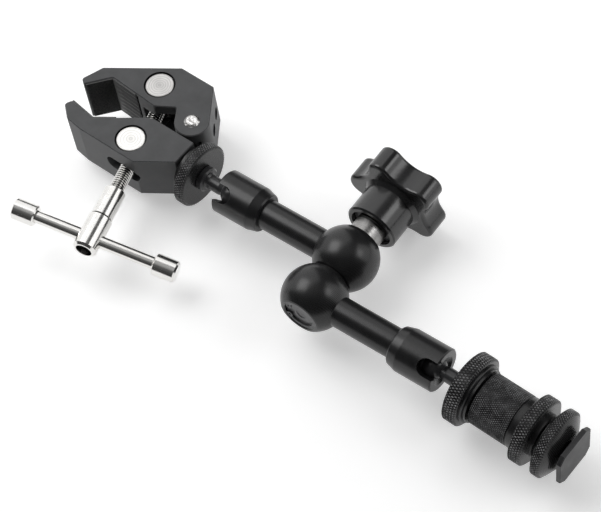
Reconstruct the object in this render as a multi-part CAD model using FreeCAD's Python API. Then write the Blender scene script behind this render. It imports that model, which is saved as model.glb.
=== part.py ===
"""Articulating friction arm: a screw clamp, two ball-ended arms on one locking elbow, and a shoe adapter.

Millimetres. The origin is the middle of the jaw mouth, where a gripped rod would lie. +X runs along the
arm from the clamp to the shoe, +Y along the elbow's knob axis, +Z along the clamp's cross pins.
"""
import FreeCAD, Part
import math
import os
from FreeCAD import Placement, Rotation
from FreeCAD import Vector as V

# Clearances
running = 0.05
slack = 0.25
loop_clearance = 0.15

# Clamp, measured from the jaw pivot
pivot_x, pivot_y = 36.3, 11.3
jaw_width = 22.3
jaw_edge_bevel = 0.35
lobe_radius = 7.05
rivet_radius = 2.0
rivet_head_radius = 3.1
rivet_head_height = 0.7
tongue_width = 11.8
tongue_radius = 3.6
tongue_neck = (-4.3, 2.3)
pin_radius = 5.85
pin_recess = 0.3
pin_rim_radius = 6.35
pin_rim_depth = 1.2
upper_pin_reach, upper_pin_angle = 23.08, 163.8
lower_pin_reach, lower_pin_angle = 24.83, 233.6
back_face_angle = 34.9
back_thread_depth = 8.0
accessory_thread_radius = 2.6
accessory_mouth_radius = 3.25
accessory_stations = (5.0, 13.1)
pad_thickness = 2.2
pad_side_margin = 1.3
pad_proud = 0.45
seat_x = 7.2
seat_top = -7.5
seat_bottom = -18.7
jaw_floor = -28.0

# Clamp screw and its sliding bar
screw_radius = 3.0
screw_tip_radius = 2.3
screw_slot_half = screw_radius + 2 * slack
thrust_ring_radius = 4.0
thrust_ring_height = 0.8
barrel_flat = 4.6
tip_clip_radius = 3.6
tip_clip_height = 0.8
sleeve_start = 18.2
sleeve_radius = 4.4
hub_start = 32.0
hub_end = 47.5
hub_radius = 4.95
hub_recess_radius = 3.3
hub_recess_depth = 3.2
bar_station = 41.5
bar_radius = 2.55
bar_length = 69.2
bar_offset = 2.1
bar_roll = 9.8
cap_radius = 4.4
cap_length = 9.6

# Ball studs and their lock rings, measured from the ball centre
stud_axis_y = -12.7
ball_radius = 4.8
neck_radius = 3.0
flange_radius = 5.1
flange_start = 11.7
ring_start = 14.7
thread_radius = 3.175
knurl_width = 4.6
ring_step_width = 1.2
ring_step_drop = 2.2
ring_boss_radius = 5.7
ring_boss_height = 0.5
adapter_ring_lead = 1.5
clamp_ring_radius = 13.3
adapter_ring_radius = 14.3
stud_grip = 10.5

# Arms, measured from each ball centre towards the elbow
arm_length = 54.2
tube_radius = 6.1
rod_radius = 3.0
socket_radius = 9.0
socket_mouth = -3.8
socket_shoulder = 12.3
socket_end = 16.6
socket_end_radius = 7.95
tube_seat = 11.5
mouth_throat_x = -2.5
mouth_flare_radius = 6.1
slot_width = 7.2
slot_angle = 129.0
cup_start = 3.2
cup_end = 8.0

# Elbow, measured along the knob axis from the clamp-side knuckle's centre
knuckle_radius = 13.0
knuckle_half = 10.2
washer_height = 0.4
washer_radius = 7.6
cone_narrow_radius = 3.6
cone_wide_radius = 6.1
cone_narrow_at = -2.2
cone_wide_at = 5.2
cone_tip_clearance = 0.4
tube_socket_depth = 5.2
bolt_radius = 3.0
bolt_head_radius = 5.4
bolt_head_height = 2.0
bolt_end = 35.0
collar_radius = 6.6
collar_shoulder = 6.4
collar_top = 18.1
cover_ledge = 8.2
cover_radius = 6.8
cover_height = 0.6
clip_height = 0.8
clip_outer_radius = 7.3
clip_inner_radius = 5.7
clip_gap_angle = 44.0

# Knob
knob_rim = 16.2
knob_recess_radius = 8.9
knob_recess_depth = 3.2
knob_hub_radius = 10.9
knob_flare_radius = 12.9
knob_underside = 30.3
knob_top = 41.4
knob_tip_radius = 20.2
knob_lobe_radius = 5.2
knob_valley_reach = 14.8
knob_lobes = 5
knob_phase = 33.0
knob_edge_round = 1.4
bush_radius = 5.5
bush_start = 20.4
bush_end = 34.0
knob_washer_radius = 8.6
knob_washer_height = 1.2

# Shoe adapter, measured from the second ball's centre
grip_radius = 10.45
grip_end = 41.6
grip_collar_width = 2.6
grip_groove = 0.3
jam_wheel_radius = 13.7
jam_wheel_start = 41.8
jam_wheel_end = 47.3
wheel_hub_radius = 8.8
jam_hub_end = 49.2
clamp_wheel_radius = 13.7
clamp_hub_start = 49.8
clamp_wheel_start = 51.4
clamp_wheel_end = 55.5
clamp_cone_end = 58.4
clamp_cone_radius = 7.6
wheel_bevel = 0.7
stem_start = 35.5
foot_inner = 60.3
foot_thickness = 2.0
foot_side = 18.6
foot_corner = 2.8
foot_boss_radius = 4.2
foot_boss_height = 1.6

# Rest pose
arm_yaw = 2.2
elbow_bend = -0.2
adapter_yaw = -2.9

X_AXIS = V(1, 0, 0)
Y_AXIS = V(0, 1, 0)
Z_AXIS = V(0, 0, 1)
HALF_WIDTH = jaw_width / 2
MARGIN = 30.0


# Shape helpers

def polar(radius, degrees):
    """A point in the XY plane."""
    return V(radius * math.cos(math.radians(degrees)), radius * math.sin(math.radians(degrees)), 0)


def turned(profile):
    """A closed (x, radius) profile turned about X. A row of four is an arc through its first point."""
    edges = []
    last = V(*profile[-1][-2:], 0)
    for row in profile:
        here = V(*row[-2:], 0)
        if len(row) == 4:
            edges.append(Part.Arc(last, V(*row[:2], 0), here).toShape())
        elif (here - last).Length > 1e-6:
            edges.append(Part.LineSegment(last, here).toShape())
        last = here
    return Part.Face(Part.Wire(edges)).revolve(V(), X_AXIS, 360)


def on_circle(radius, degrees):
    """An (x, radius) point on a circle round the origin, counted from +X."""
    return radius * math.cos(math.radians(degrees)), radius * math.sin(math.radians(degrees))


def circle_height(radius, x):
    return math.sqrt(radius ** 2 - x ** 2)


def rod(start, end, radius):
    """A cylinder on the X axis."""
    return Part.makeCylinder(radius, end - start, V(start, 0, 0), X_AXIS)


def post(x, y, radius, z0, z1):
    """A cylinder parallel to Z."""
    return Part.makeCylinder(radius, z1 - z0, V(x, y, z0), Z_AXIS)


def rounded_wire(corners, z=0.0):
    """A closed wire through (x, y, fillet radius) corners."""
    points = [V(x, y, z) for x, y, _ in corners]
    edges = []
    ends = []
    for i, (x, y, radius) in enumerate(corners):
        here = points[i]
        back = (points[i - 1] - here).normalize()
        ahead = (points[(i + 1) % len(points)] - here).normalize()
        if radius == 0:
            ends.append((here, here, None))
            continue
        half = back.getAngle(ahead) / 2
        reach = radius / math.tan(half)
        bisector = (back + ahead).normalize()
        centre = here + bisector * (radius / math.sin(half))
        ends.append((here + back * reach, here + ahead * reach, centre - bisector * radius))
    for i, (first, last, middle) in enumerate(ends):
        if middle is not None:
            edges.append(Part.Arc(first, middle, last).toShape())
        edges.append(Part.LineSegment(last, ends[(i + 1) % len(ends)][0]).toShape())
    return Part.Wire(edges)


def prism(corners, z0, z1):
    """A rounded outline raised from z0 to z1."""
    return Part.Face(rounded_wire(corners, z0)).extrude(V(0, 0, z1 - z0))


def obround_y(x0, x1, half, y0, y1):
    """A slot along X with round ends, cut from y0 to y1 and centred on z = 0."""
    block = Part.makeBox(x1 - x0 - 2 * half, y1 - y0, 2 * half, V(x0 + half, y0, -half))
    for x in (x0 + half, x1 - half):
        block = block.fuse(Part.makeCylinder(half, y1 - y0, V(x, y0, 0), Y_AXIS))
    return block.removeSplitter()


def offset_line(points, distance):
    """An open polyline moved sideways, to the left of its own direction."""
    normals = []
    for a, b in zip(points, points[1:]):
        along = (b - a).normalize()
        normals.append(V(-along.y, along.x, 0))
    moved = [points[0] + normals[0] * distance]
    for before, after, point in zip(normals, normals[1:], points[1:-1]):
        bisector = (before + after).normalize()
        moved.append(point + bisector * (distance / bisector.dot(before)))
    moved.append(points[-1] + normals[-1] * distance)
    return moved


def strip(points, below, above):
    """Corners of the band between two offsets of a polyline."""
    near = offset_line(points, below)
    far = offset_line(points, above)
    return [(p.x, p.y, 0) for p in near + far[::-1]]


def tangent_point(outside, radius, side):
    """Where a line from a point touches a circle round the origin."""
    reach = math.degrees(math.acos(radius / outside.Length))
    bearing = math.degrees(math.atan2(outside.y, outside.x))
    return polar(radius, bearing + side * reach)


def bevel_faces(solid, height, size):
    """A small bevel round the edges that lie in the two faces at z = +height and -height."""
    edges = []
    for edge in solid.Edges:
        box = edge.BoundBox
        if box.ZLength < 1e-6 and abs(abs(box.ZMin) - height) < 1e-6:
            edges.append(edge)
    return solid.makeChamfer(size, edges)


def moved(shape, place):
    """A copy carried by a placement."""
    copy = shape.copy()
    copy.Placement = place.multiply(copy.Placement)
    return copy


def disc_wheel(start, end, radius, bevel):
    """Profile corners of a wheel rim with bevelled edges."""
    return [(start, radius - bevel), (start + bevel, radius), (end - bevel, radius), (end, radius - bevel)]


# Clamp, drawn round the jaw pivot

UPPER_PIN = polar(upper_pin_reach, upper_pin_angle)
LOWER_PIN = polar(lower_pin_reach, lower_pin_angle)
PIN_SPAN = (LOWER_PIN - UPPER_PIN).Length
SCREW_DIRECTION = (LOWER_PIN - UPPER_PIN).normalize()
BACK_NORMAL = polar(1.0, back_face_angle)

JAW_CROWN = V(-3.6, 17.9, 0)
UPPER_MOUTH = [V(-48.0, -10.6, 0), V(-40.2, -1.3, 0), V(-17.2, -2.8, 0)]
UPPER_PAD_END = V(-26.6, -2.19, 0)
LOWER_MOUTH = [V(-46.3, -19.3, 0), V(-34.1, -21.1, 0), V(-25.4, -15.3, 0)]


def upper_jaw():
    throat = V(-9.4, 1.8, 0)
    front_touch = tangent_point(throat, lobe_radius, 1)
    back_touch = tangent_point(JAW_CROWN, lobe_radius, -1)
    tip, vee, heel = UPPER_MOUTH
    outline = [
        (-46.8, 0.2, 1.5), (-50.3, -8.7, 1.2), (tip.x, tip.y, 0.8), (vee.x, vee.y, 2.0), (heel.x, heel.y, 2.5),
        (throat.x, throat.y, 1.0), (front_touch.x, front_touch.y, 0), (0, 0, 0), (back_touch.x, back_touch.y, 0),
        (JAW_CROWN.x, JAW_CROWN.y, 1.0), (-20.1, 17.9, 1.0),
    ]
    jaw = prism(outline, -HALF_WIDTH, HALF_WIDTH)
    jaw = jaw.fuse(post(0, 0, lobe_radius, -HALF_WIDTH, HALF_WIDTH)).removeSplitter()
    jaw = bevel_faces(jaw, HALF_WIDTH, jaw_edge_bevel)
    return jaw.cut(tongue_pocket()).cut(screw_pocket()).cut(upper_pad_pocket()).cut(upper_jaw_holes())


def back_point(along, depth):
    """A point at a depth along the sloping back's normal, and a distance from the pivot up along the slope."""
    return BACK_NORMAL * depth + V(-BACK_NORMAL.y, BACK_NORMAL.x, 0) * along


def hole_height(station):
    """How far up the slope from the pivot an accessory hole stands."""
    return JAW_CROWN.dot(V(-BACK_NORMAL.y, BACK_NORMAL.x, 0)) - station


def tongue_pocket():
    """Room for the other jaw's tongue and for the screw, open to the mouth side."""
    half = tongue_width / 2 + slack
    reach = tongue_radius + slack
    deep = lobe_radius - back_thread_depth
    step = hole_height(accessory_stations[1]) + accessory_thread_radius + slack
    roof = back_point(14.0, deep)
    steps = [back_point(step, deep), back_point(step, reach), back_point(0, reach)]
    corner = polar(14.0, -24.0)
    outline = [
        (0, 0, 0), (corner.x, corner.y, 0), (14.0, -14.0, 0), (-16.6, -14.0, 0), (-16.6, 12.4, 2.0),
        (roof.x, roof.y, 1.0),
    ] + [(p.x, p.y, 0) for p in steps]
    return prism(outline, -half, half).fuse(post(0, 0, reach, -half, half))


def screw_pocket():
    """Swing room for the screw and its rings on both sides of the upper cross pin."""
    half = thrust_ring_radius + slack
    swing = [(-24.9, 6.0, 0), (-24.9, -1.2, 0), (-23.2, -14.0, 0), (-16.0, -14.0, 0), (-16.0, 6.0, 0)]
    tip_room = post(UPPER_PIN.x, UPPER_PIN.y, pin_radius + 1.0, -half, half)
    return prism(swing, -half, half).fuse(tip_room)


def upper_pad_line():
    tip, vee, _ = UPPER_MOUTH
    start = tip + (vee - tip).normalize() * 0.9
    return [start, vee, UPPER_PAD_END]


def upper_pad_pocket():
    half = HALF_WIDTH - pad_side_margin
    return prism(strip(upper_pad_line(), -MARGIN / 10, pad_thickness - pad_proud), -half, half)


def upper_pad():
    half = HALF_WIDTH - pad_side_margin - slack / 2
    return prism(strip(upper_pad_line(), -pad_proud, pad_thickness - pad_proud), -half, half)


def accessory_hole(station):
    """A threaded hole's core, from the sloping back face inwards."""
    mouth = back_point(hole_height(station), lobe_radius)
    core = Part.makeCylinder(accessory_thread_radius, back_thread_depth + 2.0, mouth + BACK_NORMAL, -BACK_NORMAL)
    mouth_depth = accessory_mouth_radius - accessory_thread_radius
    flare = Part.makeCone(accessory_mouth_radius, accessory_thread_radius, mouth_depth, mouth, -BACK_NORMAL)
    return core.fuse(flare)


def upper_jaw_holes():
    holes = post(0, 0, rivet_radius, -MARGIN, MARGIN)
    holes = holes.fuse(pin_hole(UPPER_PIN))
    for station in accessory_stations:
        holes = holes.fuse(accessory_hole(station))
    return holes


def pin_hole(centre):
    """The bore of a cross pin, with a wider rim at each side face."""
    hole = post(centre.x, centre.y, pin_radius + running, -MARGIN, MARGIN)
    for z in (-HALF_WIDTH, HALF_WIDTH - pin_rim_depth):
        hole = hole.fuse(post(centre.x, centre.y, pin_rim_radius, z, z + pin_rim_depth))
    return hole


def lower_jaw():
    tip, vee, _ = LOWER_MOUTH
    outline = [
        (seat_x, seat_top, 0.6), (seat_x, seat_bottom, 0.8), (-6.8, jaw_floor, 1.0), (-34.9, jaw_floor, 2.0),
        (-42.3, -26.9, 2.0), (-48.0, -22.0, 1.6), (tip.x, tip.y, 0.6), (vee.x, vee.y, 1.5),
        (-15.4, -8.1, 1.0), (-12.8, seat_top, 0.5),
    ]
    jaw = bevel_faces(prism(outline, -HALF_WIDTH, HALF_WIDTH), HALF_WIDTH, jaw_edge_bevel)
    half = tongue_width / 2
    left, right = tongue_neck
    neck = prism([(left, seat_top - 1.0, 0), (right, seat_top - 1.0, 0), (right, -1.0, 0), (left, -1.0, 0)],
                 -half, half)
    jaw = jaw.fuse(neck).fuse(post(0, 0, tongue_radius, -half, half)).removeSplitter()
    return jaw.cut(lower_jaw_holes())


def lower_jaw_holes():
    holes = post(0, 0, rivet_radius + running, -MARGIN, MARGIN)
    holes = holes.fuse(pin_hole(LOWER_PIN))
    holes = holes.fuse(obround_y(-22.5, -5.7, screw_slot_half, jaw_floor - 2, LOWER_PIN.y))
    holes = holes.fuse(obround_y(-23.2, -11.3, screw_slot_half, LOWER_PIN.y, seat_top + 4))
    thread = Part.makeCylinder(thread_radius + running, stud_grip, V(seat_x, stud_axis_y, 0), -X_AXIS)
    line = LOWER_MOUTH
    half = HALF_WIDTH - pad_side_margin
    pocket = prism(strip(line, -(pad_thickness - pad_proud - 0.35), MARGIN / 10), -half, half)
    return holes.fuse(thread).fuse(pocket)


def lower_pad():
    half = HALF_WIDTH - pad_side_margin - slack / 2
    return prism(strip(LOWER_MOUTH, -(pad_thickness - pad_proud - 0.35), pad_proud + 0.35), -half, half)


def pivot_rivet():
    half = HALF_WIDTH
    shank = post(0, 0, rivet_radius, -half, half)
    head = Part.makeCone(rivet_head_radius, rivet_head_radius * 0.72, rivet_head_height, V(0, 0, half), Z_AXIS)
    foot = Part.makeCone(rivet_head_radius, rivet_head_radius * 0.72, rivet_head_height, V(0, 0, -half), -Z_AXIS)
    return shank.fuse(head).fuse(foot).removeSplitter()


def cross_pin(centre):
    """A cross pin without its screw hole, slightly below both side faces."""
    half = HALF_WIDTH - pin_recess
    pin = post(centre.x, centre.y, pin_radius, -half, half)
    rims = [edge for edge in pin.Edges if edge.BoundBox.ZLength < 1e-6]
    return pin.makeChamfer(0.3, rims)


def upper_barrel():
    """The cross pin that holds the screw's necked tip between two spot faces."""
    hole = Part.makeCylinder(screw_tip_radius + running, 2 * MARGIN, UPPER_PIN - SCREW_DIRECTION * MARGIN,
                             SCREW_DIRECTION)
    pin = cross_pin(UPPER_PIN).cut(hole)
    for way in (SCREW_DIRECTION, -SCREW_DIRECTION):
        pin = pin.cut(Part.makeCylinder(thrust_ring_radius + slack, MARGIN, UPPER_PIN + way * barrel_flat, way))
    return pin


def lower_barrel():
    """The cross pin that carries the screw's thread."""
    bore = screw_radius + loop_clearance
    hole = Part.makeCylinder(bore, 2 * MARGIN, LOWER_PIN - SCREW_DIRECTION * MARGIN, SCREW_DIRECTION)
    return cross_pin(LOWER_PIN).cut(hole)


# Clamp screw, drawn along X from the upper cross pin's centre

def screw_place():
    return Placement(UPPER_PIN, Rotation(X_AXIS, SCREW_DIRECTION))


def clamp_screw():
    ring_top = barrel_flat + thrust_ring_height
    start = PIN_SPAN + sleeve_start
    profile = [
        (-barrel_flat - tip_clip_height - 0.6, 0), (-barrel_flat - tip_clip_height - 0.6, screw_tip_radius - 0.4),
        (-barrel_flat - tip_clip_height - 0.2, screw_tip_radius), (ring_top, screw_tip_radius),
        (ring_top, screw_radius - 0.5), (ring_top + 0.5, screw_radius), (start + 8, screw_radius), (start + 8, 0),
    ]
    return turned(profile)


def thrust_ring():
    return turned([(barrel_flat, screw_tip_radius), (barrel_flat, thrust_ring_radius),
                   (barrel_flat + thrust_ring_height, thrust_ring_radius),
                   (barrel_flat + thrust_ring_height, screw_tip_radius)])


def tip_clip():
    ring = turned([(-barrel_flat - tip_clip_height, screw_tip_radius), (-barrel_flat - tip_clip_height,
                   tip_clip_radius), (-barrel_flat, tip_clip_radius), (-barrel_flat, screw_tip_radius)])
    gap = Part.makeBox(2 * tip_clip_height, tip_clip_radius, 2.4,
                       V(-barrel_flat - 1.5 * tip_clip_height, 0, -1.2))
    return ring.cut(gap)


def screw_hub():
    """The sleeve and hub pressed on the screw, bored across for the sliding bar."""
    sleeve = PIN_SPAN + sleeve_start
    hub = PIN_SPAN + hub_start
    end = PIN_SPAN + hub_end
    recess = end - hub_recess_depth
    profile = [
        (sleeve, screw_radius), (sleeve, sleeve_radius - 0.6), (sleeve + 0.6, sleeve_radius),
        (hub - 0.5, sleeve_radius), (hub - 0.5, sleeve_radius - 0.35), (hub, sleeve_radius - 0.35),
        (hub + 0.4, hub_radius), (end - 0.9, hub_radius), (end, hub_radius - 0.9), (end, hub_recess_radius),
        (recess, hub_recess_radius - 0.6), (recess - 1.2, 0), (sleeve + 8, 0), (sleeve + 8, screw_radius),
    ]
    across = Part.makeCylinder(bar_radius + running, 2 * MARGIN, V(PIN_SPAN + bar_station, 0, -MARGIN), Z_AXIS)
    return turned(profile).cut(across)


def bar_place():
    """The bar's own frame: origin where it crosses the screw, +X along the bar."""
    centre = UPPER_PIN + SCREW_DIRECTION * (PIN_SPAN + bar_station)
    level = V(-SCREW_DIRECTION.y, SCREW_DIRECTION.x, 0)
    roll = Rotation(SCREW_DIRECTION, -bar_roll)
    return Placement(centre, Rotation(X_AXIS, roll.multVec(level)))


def sliding_bar():
    half = bar_length / 2 - cap_length
    return rod(bar_offset - half - 5.0, bar_offset + half + 5.0, bar_radius)


def bar_cap(side):
    """A turned cap pressed on one end of the bar."""
    inner = bar_length / 2 - cap_length
    outer = bar_length / 2
    profile = [
        (inner, bar_radius), (inner, cap_radius - 0.5), (inner + 0.5, cap_radius), (outer - 0.7, cap_radius),
        (outer, cap_radius - 0.7), (outer, 0), (inner + 5.0, 0), (inner + 5.0, bar_radius),
    ]
    return turned([(bar_offset + side * x, r) for x, r in profile])


# Ball studs and lock rings, drawn along X outwards from the ball centre

RING_END = ring_start + knurl_width + 2 * ring_step_width + ring_boss_height


def ball_stud():
    thread_end = RING_END + stud_grip - 0.5
    root = neck_radius * 0.85
    return turned([
        (-ball_radius, 0), (0, ball_radius, circle_height(ball_radius, root), root),
        (ball_radius + 1.0, neck_radius), (flange_start - 0.8, neck_radius),
        (flange_start, neck_radius + 0.6), (flange_start, flange_radius - 0.6),
        (flange_start + 0.6, flange_radius), (ring_start - 0.5, flange_radius), (ring_start, flange_radius - 0.5),
        (ring_start, thread_radius), (thread_end - 0.6, thread_radius), (thread_end, thread_radius - 0.6),
        (thread_end, 0),
    ])


def lock_ring(radius, lead):
    """A knurled jam ring: rim, two falling steps and a small boss that bears on its seat.

    The rim can lead past the stud's flange, which then sits in a counterbore.
    """
    start = ring_start - lead
    rim_end = ring_start + knurl_width
    step_end = rim_end + ring_step_width
    back = step_end + ring_step_width
    bore = thread_radius + running
    flange_way = flange_radius + slack if lead > 0 else bore
    profile = [(ring_start, bore), (ring_start, flange_way), (start, flange_way)]
    profile += disc_wheel(start, rim_end, radius, 0.6) + [
        (rim_end, radius - ring_step_drop), (step_end - 0.3, radius - ring_step_drop),
        (step_end, radius - ring_step_drop - 0.3), (step_end, radius - 1.5 * ring_step_drop),
        (back, radius - 1.5 * ring_step_drop), (back, ring_boss_radius), (RING_END, ring_boss_radius),
        (RING_END, bore),
    ]
    return turned(profile)


# Arms, drawn along X from the ball centre towards the elbow

def socket():
    """The ball socket: bored from the tube side, lipped at the mouth and slotted down one side."""
    outside = turned([
        (socket_mouth, 0), (socket_mouth, socket_radius - 0.5), (socket_mouth + 0.5, socket_radius),
        (socket_shoulder, socket_radius), (socket_end - 0.5, socket_end_radius),
        (socket_end, socket_end_radius - 0.5), (socket_end, 0),
    ])
    seat = ball_radius + running
    lip = circle_height(seat, mouth_throat_x)
    lip_angle = math.degrees(math.atan2(lip, mouth_throat_x))
    bore = turned([
        (socket_mouth - 1, 0), (socket_mouth - 1, mouth_flare_radius + 1.0), (socket_mouth, mouth_flare_radius),
        (mouth_throat_x, lip), (*on_circle(seat, (lip_angle + 90) / 2), 0, seat), (tube_seat, seat),
        (tube_seat, tube_radius), (socket_end + 1, tube_radius), (socket_end + 1, 0),
    ])
    return outside.cut(bore).cut(socket_slot())


def socket_slot():
    """The round-ended side slot that lets the neck drop to a right angle."""
    half = slot_width / 2
    block = Part.makeBox(MARGIN, slot_width, 2 * socket_radius, V(-MARGIN, -half, 0))
    block = block.fuse(Part.makeCylinder(half, 2 * socket_radius, V(), Z_AXIS))
    return moved(block, Placement(V(), Rotation(X_AXIS, slot_angle - 90)))


def tube():
    bore = rod_radius + running
    end = arm_length - knuckle_radius + tube_socket_depth
    return turned([(tube_seat, bore), (tube_seat, tube_radius), (end, tube_radius), (end, bore)])


def ball_cup():
    """The pressure cup behind the ball, dished to fit it."""
    seat = ball_radius + running
    rim = circle_height(seat, cup_start)
    rim_angle = math.degrees(math.atan2(rim, cup_start))
    return turned([
        (seat, 0), (*on_circle(seat, rim_angle / 2), cup_start, rim), (cup_start, ball_radius - 0.2),
        (cup_start + 0.2, ball_radius), (cup_end, ball_radius), (cup_end, 0),
    ])


def cone_radius_at(level):
    share = (level - cone_narrow_at) / (cone_wide_at - cone_narrow_at)
    return cone_narrow_radius + share * (cone_wide_radius - cone_narrow_radius)


def push_rod():
    """The rod between the cup and the elbow's cone, with a round nose at the cone."""
    slope = math.atan2(cone_wide_radius - cone_narrow_radius, cone_wide_at - cone_narrow_at)
    nose_centre = arm_length - cone_radius_at(0) - (rod_radius + running) / math.cos(slope)
    nose_x, nose_y = on_circle(rod_radius, 45)
    start = cup_end + running
    return turned([
        (start, 0), (start, rod_radius), (nose_centre, rod_radius),
        (nose_centre + nose_x, nose_y, nose_centre + rod_radius, 0),
    ])


# Elbow, drawn with the knuckle centre at the origin, +Y along the knob axis and the tube on -X

KNUCKLE_FLAT = knuckle_half - washer_height / 2
CAVITY_RADIUS = cone_wide_radius + 0.15


def knuckle(mouth):
    """A ball cut flat on both sides, bored for the bolt, the cone and the mouth's pieces."""
    bevel_y = KNUCKLE_FLAT - 0.25
    bevel_radius = circle_height(knuckle_radius, bevel_y)
    flat_radius = circle_height(knuckle_radius, KNUCKLE_FLAT) - 0.3
    bolt_way = bolt_radius + 0.2
    floor_y = cone_narrow_at - cone_tip_clearance
    ball = elbow_turned([
        (-KNUCKLE_FLAT, bolt_way), (-KNUCKLE_FLAT, flat_radius), (-bevel_y, bevel_radius),
        (0, knuckle_radius, bevel_y, bevel_radius), (KNUCKLE_FLAT, flat_radius),
    ] + mouth + [(floor_y, CAVITY_RADIUS), (floor_y, bolt_way)])
    tube_way = rod(-MARGIN, tube_socket_depth - knuckle_radius, tube_radius)
    rod_way = rod(-MARGIN, 0, rod_radius + running)
    return ball.cut(tube_way).cut(rod_way)


def collar_mouth():
    """Counterbore for the collar, from the outer flat inwards."""
    wide = collar_radius + 0.1
    step = collar_shoulder - 0.4
    return [(KNUCKLE_FLAT, wide), (step, wide), (step, CAVITY_RADIUS)]


def cover_mouth():
    """Ledge for the cover disc and groove for the retaining ring, from the outer flat inwards."""
    wide = cover_radius + 0.1
    low = cover_ledge + cover_height
    high = low + clip_height
    groove = clip_outer_radius + 0.1
    return [
        (KNUCKLE_FLAT, wide + 0.4), (high, wide), (high, groove), (low, groove), (low, wide),
        (cover_ledge, wide), (cover_ledge, CAVITY_RADIUS),
    ]


def elbow_turned(profile):
    """A closed (y, radius) profile turned about the knob axis."""
    return moved(turned(profile), Placement(V(), Rotation(Z_AXIS, 90)))


def cone():
    return elbow_turned([(cone_narrow_at, bolt_radius + running), (cone_narrow_at, cone_narrow_radius),
                         (cone_wide_at, cone_wide_radius), (cone_wide_at, bolt_radius + running)])


def fixed_cone():
    """The head-side cone, pressed on the bolt."""
    return elbow_turned([(cone_narrow_at, bolt_radius), (cone_narrow_at, cone_narrow_radius),
                         (cone_wide_at, cone_wide_radius), (cone_wide_at, bolt_radius)])


def friction_washer():
    inner = bolt_radius + 0.3
    low = -knuckle_half - washer_height / 2
    high = -knuckle_half + washer_height / 2
    return elbow_turned([(low, inner), (low, washer_radius), (high, washer_radius), (high, inner)])


def tension_bolt():
    """The bolt through both knuckles, drawn in the clamp-side knuckle's frame."""
    under_head = -2 * knuckle_half - cone_wide_at
    foot = under_head - bolt_head_height
    return elbow_turned([
        (foot, 0), (foot, bolt_head_radius - 0.4), (foot + 0.4, bolt_head_radius), (under_head, bolt_head_radius),
        (under_head, bolt_radius), (bolt_end - 0.6, bolt_radius), (bolt_end, bolt_radius - 0.6), (bolt_end, 0),
    ])


def thrust_collar():
    bore = bolt_radius + running
    return elbow_turned([
        (cone_wide_at, bore), (cone_wide_at, cone_wide_radius - 0.1), (collar_shoulder, cone_wide_radius - 0.1),
        (collar_shoulder, collar_radius), (collar_top - 0.4, collar_radius), (collar_top, collar_radius - 0.4),
        (collar_top, bore),
    ])


def cover_disc():
    top = cover_ledge + cover_height
    return elbow_turned([(cover_ledge, 0), (cover_ledge, cover_radius), (top, cover_radius), (top, 2.4),
                         (top - 0.3, 2.0), (top - 0.3, 0)])


def retaining_ring():
    """A flat internal ring with a gap and two eared ends."""
    low = cover_ledge + cover_height
    ring = elbow_turned([(low, clip_inner_radius), (low, clip_outer_radius), (low + clip_height, clip_outer_radius),
                         (low + clip_height, clip_inner_radius)])
    half = clip_gap_angle / 2
    far = 2 * clip_outer_radius
    wedge_points = [V(0, low, 0)]
    for angle in (-half, half):
        wedge_points.append(V(far * math.cos(math.radians(angle)), low, far * math.sin(math.radians(angle))))
    wedge = Part.Face(Part.makePolygon(wedge_points + wedge_points[:1])).extrude(V(0, clip_height, 0))
    ring = ring.cut(wedge)
    ear_radius = 1.25
    ear_reach = clip_inner_radius + 0.1
    for side in (-1, 1):
        angle = math.radians(side * (half + 9.0))
        centre = V(ear_reach * math.cos(angle), low, ear_reach * math.sin(angle))
        ring = ring.fuse(Part.makeCylinder(ear_radius, clip_height, centre, Y_AXIS))
        ring = ring.cut(Part.makeCylinder(0.55, clip_height, centre, Y_AXIS))
    return ring.removeSplitter()


# Knob

def knob_outline(grow):
    """The lobed outline in the XZ plane: round tips joined by hollow valleys, all arcs tangent."""
    step = 360.0 / knob_lobes
    tip_centre = knob_tip_radius - knob_lobe_radius
    half_step = math.radians(step / 2)
    reach = knob_valley_reach
    top = tip_centre ** 2 + reach ** 2 - 2 * tip_centre * reach * math.cos(half_step) - knob_lobe_radius ** 2
    valley_radius = top / (2 * (knob_lobe_radius - reach + tip_centre * math.cos(half_step)))
    valley_centre = reach + valley_radius
    lobe = knob_lobe_radius + grow
    hollow = valley_radius - grow
    edges = []
    for i in range(knob_lobes):
        lobe_middle = flat_polar(tip_centre, i * step)
        before = flat_polar(valley_centre, (i - 0.5) * step)
        after = flat_polar(valley_centre, (i + 0.5) * step)
        start = lobe_middle + (before - lobe_middle).normalize() * lobe
        end = lobe_middle + (after - lobe_middle).normalize() * lobe
        next_middle = flat_polar(tip_centre, (i + 1) * step)
        next_start = next_middle + (after - next_middle).normalize() * lobe
        edges.append(Part.Arc(start, flat_polar(knob_tip_radius + grow, i * step), end).toShape())
        edges.append(Part.Arc(end, flat_polar(valley_centre - hollow, (i + 0.5) * step), next_start).toShape())
    return Part.Wire(edges)


def flat_polar(radius, degrees):
    """A point in the XZ plane, counted from +X towards -Z."""
    return V(radius * math.cos(math.radians(degrees)), 0, -radius * math.sin(math.radians(degrees)))


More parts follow.
